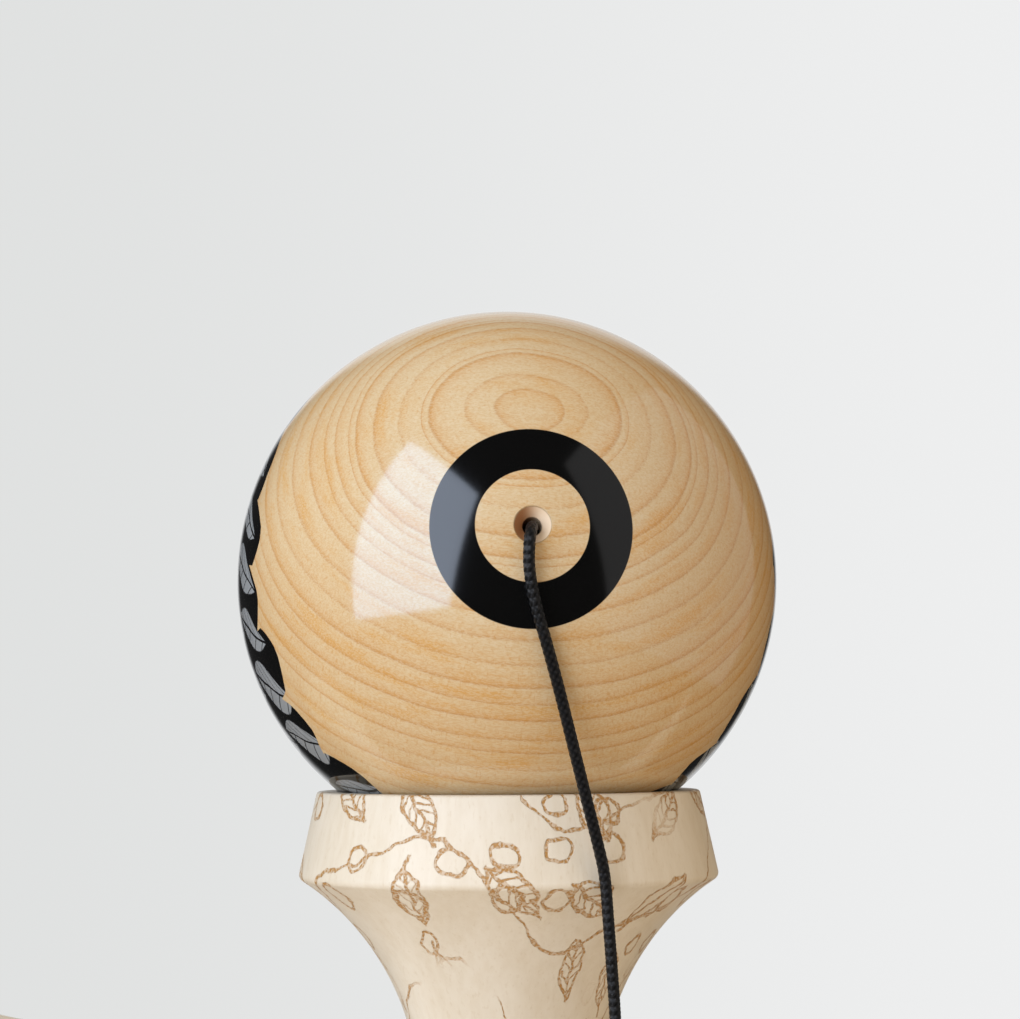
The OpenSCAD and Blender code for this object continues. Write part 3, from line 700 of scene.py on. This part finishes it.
stick_maple, shader, place, wood = bare_wood("stick_maple", (1, 0, 0))
wear(shader, Base_Color=wood)
ken = ken_shell.piece("ken_turned", stick_maple)
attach(ken, "ken")
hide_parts("ken")

# Ball (tama): a 60 mm ball turned from one block of maple and drilled through from the back, with a black painted
# ring round its string hole and a printed back, all under a thick clear gloss lacquer.
BALL_R = 30.0 * MM
BALL_COLUMNS = 288
mouth_r, hole_r, sink_r, sink_depth, bevel = np.array([10.5, 1.0, 2.0, 1.0, 1.0]) * MM
wall_end = -3.5 * MM
drill_half = np.radians(37.5)
sink_top = np.sqrt(BALL_R**2 - sink_r**2)
bevel_w = -np.sqrt(BALL_R**2 - (mouth_r + bevel) ** 2)
cone_end = wall_end + (mouth_r - hole_r) / np.tan(drill_half)
skin_start = np.degrees(np.arctan2(sink_top, sink_r))
skin_end = np.degrees(np.arctan2(bevel_w, mouth_r + bevel))
ball_skin = arc([0, 0], BALL_R, skin_start, skin_end, 0.42 * MM)
ball_profile = joined(ball_skin, line(ball_skin[-1], [mouth_r, bevel_w + bevel], step=0.3 * MM),
                      line([mouth_r, bevel_w + bevel], [mouth_r, wall_end], [hole_r, cone_end],
                           [hole_r, sink_top - sink_depth]),
                      line([hole_r, sink_top - sink_depth], ball_skin[0], step=0.25 * MM)[1:-1])

WOOD_PALE, WOOD_WARM = (0.610, 0.495, 0.322, 1.0), (0.545, 0.378, 0.195, 1.0)
AMBER = (0.560, 0.310, 0.090, 1.0)
RING_EDGE = (0.350, 0.150, 0.034, 1.0)
RING_LINE, RAY_FLECK = (0.500, 0.222, 0.036, 1.0), (0.500, 0.255, 0.070, 1.0)
# Colours of the bare countersink: painted shade on its left wall and painted light on its right wall.
SINK_PAINTED_SHADE, SINK_PAINTED_LIGHT = (0.330, 0.135, 0.045, 1.0), (0.740, 0.570, 0.390, 1.0)
PAINT_BLACK, PAINT_GREY = (0.002, 0.002, 0.002, 1.0), (0.255, 0.270, 0.280, 1.0)
PAINT_INNER, PAINT_OUTER, PAINT_EDGE = 5.79, 10.31, 0.05
PRINT_REACH, BLACK_LEAVES, TIP_SPREAD, TIP_LONG = 70.0, 23, 5.0, 4.5
GREY_LEAVES, GREY_LONG, GREY_INSET, GREY_SLANT = 27, 15.0, 1.5, 0.8
GLOSS, BARE = 0.10, 0.55
LACQUER_FROM, LACQUER_FULL = 29.80, 29.95
PITH_OUT, PITH_SIDE, PITH_TWIST, BARREL = 112.0, np.array([0.072, -0.838, 0.541]), np.radians(-7.6), 0.13
RING_GAPS = [0.3, 0.4, 1.1, 0.25, 1.15, 1.6, 1.3, 0.5, 1.2, 1.0, 1.6]
RING_SPAN = 38.0
INNER_RINGS, MOST_RINGS = 20, 30
chooser = np.random.default_rng(7)
rings = np.cumsum(np.concatenate([RING_GAPS, chooser.uniform(1.6, 2.5, INNER_RINGS)]))
rings = rings[rings < RING_SPAN][:MOST_RINGS]
ring_stops = [(0.0, 0.0)] + [(r / RING_SPAN, (k + 1) / len(rings)) for k, r in enumerate(rings)]


def lot_of(number):
    """A chance number from 0 to 1 for each whole part of a number."""
    return number.node("ShaderNodeTexWhiteNoise", {"noise_dimensions": "1D"}, {"W": number.of("FLOOR")}, out=0)


ball_lacquer, shader, tone = finish_of("ball_lacquer", Roughness=GLOSS, Specular_IOR_Level=1.0,
                                        Specular_Tint=(0.42, 0.80, 1.0, 1.0))
place = tone.node("ShaderNodeTexCoord", out=3)
from_centre = {0: place, 1: (1000.0,) * 3, 2: tuple(-1000.0 * ball_centre)}
place = place.node("ShaderNodeVectorMath", {"operation": "MULTIPLY_ADD"}, from_centre)
far = place.node("ShaderNodeVectorMath", {"operation": "LENGTH"}, {0: place}, out=1)
pith_side = PITH_SIDE / np.linalg.norm(PITH_SIDE)
level = np.array([-pith_side[1], pith_side[0], 0.0]) / np.hypot(pith_side[0], pith_side[1])
pith_run = level * np.cos(PITH_TWIST) + np.cross(pith_side, level) * np.sin(PITH_TWIST)
out, run, cross = (place.dot(tuple(v)) for v in (pith_side, pith_run, np.cross(pith_side, pith_run)))
# Growth rings: shells about a pith behind the ball, whose gaps are read off the ramp; late wood darkens their ends.
wander = (place.noise(0.08, 2.0, 0.4) - 0.5) * 0.8
from_pith = ((PITH_OUT - out) ** 2.0 + cross * cross + run * run * BARREL) ** 0.5
ring = ((from_pith - PITH_OUT + BALL_R / MM + wander) / RING_SPAN).ramp(ring_stops) * float(len(rings))
ring_part = ring.of("FRACT")
ring_chance = lot_of(ring)
late_wood = (ring_part.step(0.66, 0.90) * 0.38 + ring_part.step(0.15, 0.92) * 0.47) * ring_part.step(1.0, 0.86)
ring_edge = ring_part.step(0.78, 0.93) * ring_part.step(1.0, 0.93)
late_wood = late_wood * (ring_chance * 0.42 + 0.28)
# Fibres run along the trunk, rays run out from the pith, and streaks of amber follow both.
angle_at_pith = cross.of("ARCTAN2", PITH_OUT - out)
fibre_place = place.node("ShaderNodeCombineXYZ", None, {0: run * 0.10, 1: out * 2.0, 2: cross * 2.0})
fibre = fibre_place.noise(1.0, 3.0, 0.6)
ray_place = place.node("ShaderNodeCombineXYZ", None, {0: from_pith * 1.1, 1: angle_at_pith * 400.0, 2: run * 4.6})
ray = ray_place.noise(1.0, 1.0, 0.5).step(0.58, 0.74)
warmth = place.noise(0.05, 2.0, 0.5).step(0.3, 0.7)
streak_place = place.node("ShaderNodeCombineXYZ", None, {0: from_pith * 0.55, 1: angle_at_pith * 9.0, 2: run * 0.09})
streak = streak_place.noise(1.0, 3.0, 0.6, shift=(3, 1, 7)).step(0.47, 0.72)
pore = fibre_place.noise(1.0, 2.0, 0.65, stretch=(20.0, 3.4, 3.4), shift=(4, 8, 2)).step(0.38, 0.64)
wood = (warmth * 0.25 + fibre.step(0.3, 0.75) * 0.20 + pore * 0.55).colours(WOOD_PALE, WOOD_WARM)
outer = (from_pith - PITH_OUT).step(-28.0, -10.0) * 0.19
wood = (streak * (pore * 0.35 + 0.32) + outer * (pore * 0.7 + 0.65)).colours(wood, AMBER)
wood = (late_wood * (fibre * 0.5 + pore * 0.35 + 0.40)).colours(wood, RING_LINE)
wood = (ring_edge * (ring_chance * 0.16 + pore * 0.20 + 0.02)).colours(wood, RING_EDGE)
wood = (ray * 0.38).colours(wood, RAY_FLECK)

# Paint: a black ring about the string hole, and rows of pointed leaves from the edge of the print to the back.
along = place.dot(tuple(hole_axis))
off = (far * far - along * along).of("MAXIMUM", 0.0) ** 0.5
painted = off.step(PAINT_INNER - PAINT_EDGE, PAINT_INNER + PAINT_EDGE) * along.step(0.0, 1.0)
painted = painted * off.step(PAINT_OUTER + PAINT_EDGE, PAINT_OUTER - PAINT_EDGE)

to_left = np.array([-1.0, 0.0, 0.0]) + hole_axis * hole_axis[0]
to_left /= np.linalg.norm(to_left)
leftward, downward = place.dot(tuple(to_left)), place.dot(tuple(np.cross(hole_axis, to_left)))
reach = (along / far).of("ARCCOSINE") * np.degrees(1.0)
about = downward.of("ARCTAN2", leftward)
above_side = 0.0 - downward / off - 0.12
edge_at = PRINT_REACH + above_side.of("MAXIMUM", 0.0) * 20.0 - leftward / off * 2.0
unsteady = (place.noise(0.12, 1.0, 0.5) - 0.5) * 0.7
black_sector = about * (BLACK_LEAVES / (2 * np.pi)) + unsteady
past_tip = reach - edge_at - (lot_of(black_sector) - 0.5) * TIP_SPREAD
half = (past_tip / TIP_LONG).of("MAXIMUM", 0.0) ** 0.6 * 0.54
printed = (abs(black_sector.of("FRACT") - 0.5) - half).step(0.015, -0.015) * past_tip.step(0.0, 0.3)
row = (reach - edge_at - GREY_INSET) / GREY_LONG
along_leaf = row.of("FRACT")
grey_sector = about * (GREY_LEAVES / (2 * np.pi)) + row.of("FLOOR") * 0.5 + along_leaf * GREY_SLANT + unsteady
aside = abs(grey_sector.of("FRACT") - 0.5)
grey_half = (along_leaf * np.pi).of("SINE") * (lot_of(grey_sector + row.of("FLOOR") * 7.3) * 0.18 + 0.28)
vein = abs(((along_leaf * GREY_LONG - aside * 10.0) / 3.1).of("FRACT") - 0.5).step(0.07, 0.04)
rib = aside.step(0.035, 0.02)
leaf = (aside - grey_half).step(0.015, -0.015) * row.step(0.0, 0.01)
leaf = leaf * (1.0 - rib) * (1.0 - vein * 0.8)
colour = leaf.colours(PAINT_BLACK, PAINT_GREY)
colour = painted.colours(colour, PAINT_BLACK)
# Lacquer covers wood and paint alike, but not the drilled holes.
lacquered = far.step(LACQUER_FROM, LACQUER_FULL)
# The bare drilled holes are painted dark on their left side and pale on their right: painted shade and painted light.
drilled = leftward.step(1.2, -1.0).colours(SINK_PAINTED_SHADE, SINK_PAINTED_LIGHT)
paint = tone.node("ShaderNodeBsdfPrincipled", None, {
    "Base Color": lacquered.colours(drilled, colour), "Roughness": lacquered * (GLOSS - BARE) + BARE,
    "Specular IOR Level": 0.74})
covered = painted.of("MAXIMUM", printed).of("MAXIMUM", 1.0 - lacquered)
layers = {0: covered, 1: Tone(tone.tree, shader.outputs[0]), 2: paint}
wear(shader, Base_Color=wood)
wear(tone.tree.nodes["Material Output"], Surface=tone.node("ShaderNodeMixShader", None, layers))

ball_shell = Shell()
ball_shell.skin(ball_shell.add(turned(ball_profile, BALL_COLUMNS, ball_centre, hole_axis)), wrap_rows=True)
ball = ball_shell.piece("ball", ball_lacquer)
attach(ball, "tama")
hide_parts("tama")

# Bead: a small drilled wooden bead that bears on the cone at the bottom of the ball's hole, so the ball can turn
# on its string. It is only seen through the spike hole.
BEAD_R = 3.5 * MM
BEAD_HOLE_R = 0.9 * MM
BEAD_AT = 4.27 * MM
BEAD_COLUMNS = 64
BEAD_DARK, BEAD_LIGHT = (0.16, 0.08, 0.04, 1.0), (0.30, 0.17, 0.09, 1.0)
bead_flat = np.degrees(np.arccos(BEAD_HOLE_R / BEAD_R))
bead_ends = np.sqrt(BEAD_R**2 - BEAD_HOLE_R**2)
bead_profile = joined(arc([0, 0], BEAD_R, bead_flat, -bead_flat, 0.2 * MM),
                      line([BEAD_HOLE_R, -bead_ends], [BEAD_HOLE_R, bead_ends])[1:-1])
bead_wood, shader, tone = finish_of("bead_wood", Roughness=0.4)
place = tone.node("ShaderNodeTexCoord", out=3)
bead_grain = place.noise(900, 3, stretch=(1, 0.15, 1))
wear(shader, Base_Color=bead_grain.colours(BEAD_DARK, BEAD_LIGHT))
bead_shell = Shell()
bead_points = turned(bead_profile, BEAD_COLUMNS, ball_centre + hole_axis * BEAD_AT, hole_axis)
bead_shell.skin(bead_shell.add(bead_points), wrap_rows=True)
bead = bead_shell.piece("bead_turned", bead_wood)
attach(bead, "string_bead")
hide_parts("bead")

# Studio: a pale round table top whose rim fades away, in front of a pale seamless backdrop, lit by one large soft
# box at the front left with a weak fill at the right; the room on the camera's side is dark. The table looks pale
# grey, and the light that it casts up on the wood is warm.
TABLE_SEEN, TABLE_CAST = (0.765, 0.775, 0.785, 1.0), (0.92, 0.81, 0.67, 1.0)
FLOOR_R = 0.33
FLOOR_Z = -0.2 * MM
BACKDROP_LEFT, BACKDROP_RIGHT = (0.745, 0.755, 0.750, 1.0), (0.855, 0.860, 0.862, 1.0)
ROOM_DARK, ROOM_PALE = (0.03, 0.03, 0.03, 1.0), (0.75, 0.76, 0.77, 1.0)
ROOM_LEFT, ROOM_RIGHT = (0.74, 0.68, 0.585, 1.0), (0.52, 0.425, 0.315, 1.0)

floor_profile = line([0.02 * FLOOR_R, FLOOR_Z], [FLOOR_R, FLOOR_Z], step=0.01)
floor_shell = Shell()
floor_grid = floor_shell.add(turned(floor_profile, 96, np.zeros(3), np.array([0.0, 0.0, 1.0])))
floor_shell.skin(floor_grid)
floor_shell.fan(floor_grid[0][::-1], floor_shell.add(np.array([[0, 0, FLOOR_Z]]))[0])
table_pale, shader, tone = finish_of("table_pale", Roughness=0.7)
wear(shader, Base_Color=tone.node("ShaderNodeLightPath").colours(TABLE_CAST, TABLE_SEEN))
place = tone.node("ShaderNodeTexCoord", out=3)
far = place.node("ShaderNodeVectorMath", {"operation": "LENGTH"}, {0: place}, out=1)
wear(shader, Alpha=far.step(FLOOR_R, 0.6 * FLOOR_R))
table = floor_shell.piece("table", table_pale)
table.visible_glossy = False

world = bpy.data.worlds.new("surround")
scene.world = world
world.use_nodes = True
back = world.node_tree.nodes["Background"]
tone = Tone(world.node_tree)
across, behind = tone.node("ShaderNodeSeparateXYZ", None, {0: tone.node("ShaderNodeTexCoord")}, out=(0, 1))
seen, mirrored = tone.node("ShaderNodeLightPath", out=(0, 3))
backdrop = across.step(-0.24, 0.24).colours(BACKDROP_LEFT, BACKDROP_RIGHT)
room = (behind.step(0.68, 0.92) * abs(across).step(0.36, 0.20)).colours(ROOM_DARK, ROOM_PALE)
room_glow = across.step(-0.9, 0.9).colours(ROOM_LEFT, ROOM_RIGHT)
wear(back, Color=seen.colours(mirrored.colours(room_glow, room), backdrop))
back.inputs["Strength"].default_value = 1.0


def soft_box(name, offset, turn, lean, width, height, radiance, colour, seen=True, lights=True):
    """An area lamp at an offset from the ball's middle. It faces the ball, then turns about its own upright axis and
    leans to one side. It may be left out of the reflections, or show in them only."""
    lamp = bpy.data.lights.new(name, "AREA")
    lamp.shape = "RECTANGLE"
    lamp.size, lamp.size_y = width, height
    lamp.energy = radiance * np.pi * width * height
    lamp.color = colour
    away = np.array(offset) / np.linalg.norm(offset)
    level = np.array([-away[1], away[0], 0.0]) / np.hypot(away[0], away[1])
    swing = np.radians(turn)
    level, away = level * np.cos(swing) - away * np.sin(swing), away * np.cos(swing) + level * np.sin(swing)
    upright, tip = np.cross(away, level), np.radians(lean)
    level, upright = level * np.cos(tip) - upright * np.sin(tip), upright * np.cos(tip) + level * np.sin(tip)
    stand = np.stack([level, upright, away, ball_centre + np.array(offset)], axis=1)
    box = bpy.data.objects.new(name, lamp)
    box.matrix_world = Matrix([*stand.tolist(), [0, 0, 0, 1]])
    box.visible_glossy, box.visible_diffuse = seen, lights
    scene.collection.objects.link(box)


soft_box("key", (-0.47, -0.66, 0.22), -32, 13, 0.76, 0.92, 3.55, (0.83, 0.95, 1.17))
soft_box("fill", (0.78, -0.46, 0.42), 0, 0, 0.9, 1.2, 0.43, (1.0, 0.76, 0.50), seen=False)
soft_box("top", (-0.12, -0.3, 0.95), 0, 0, 0.9, 0.9, 0.92, (1.0, 1.0, 1.0), seen=False)
soft_box("card", (0.60, -0.08, 0.16), 0, 0, 1.2, 1.14, 0.32, (1.0, 0.98, 0.98), lights=False)
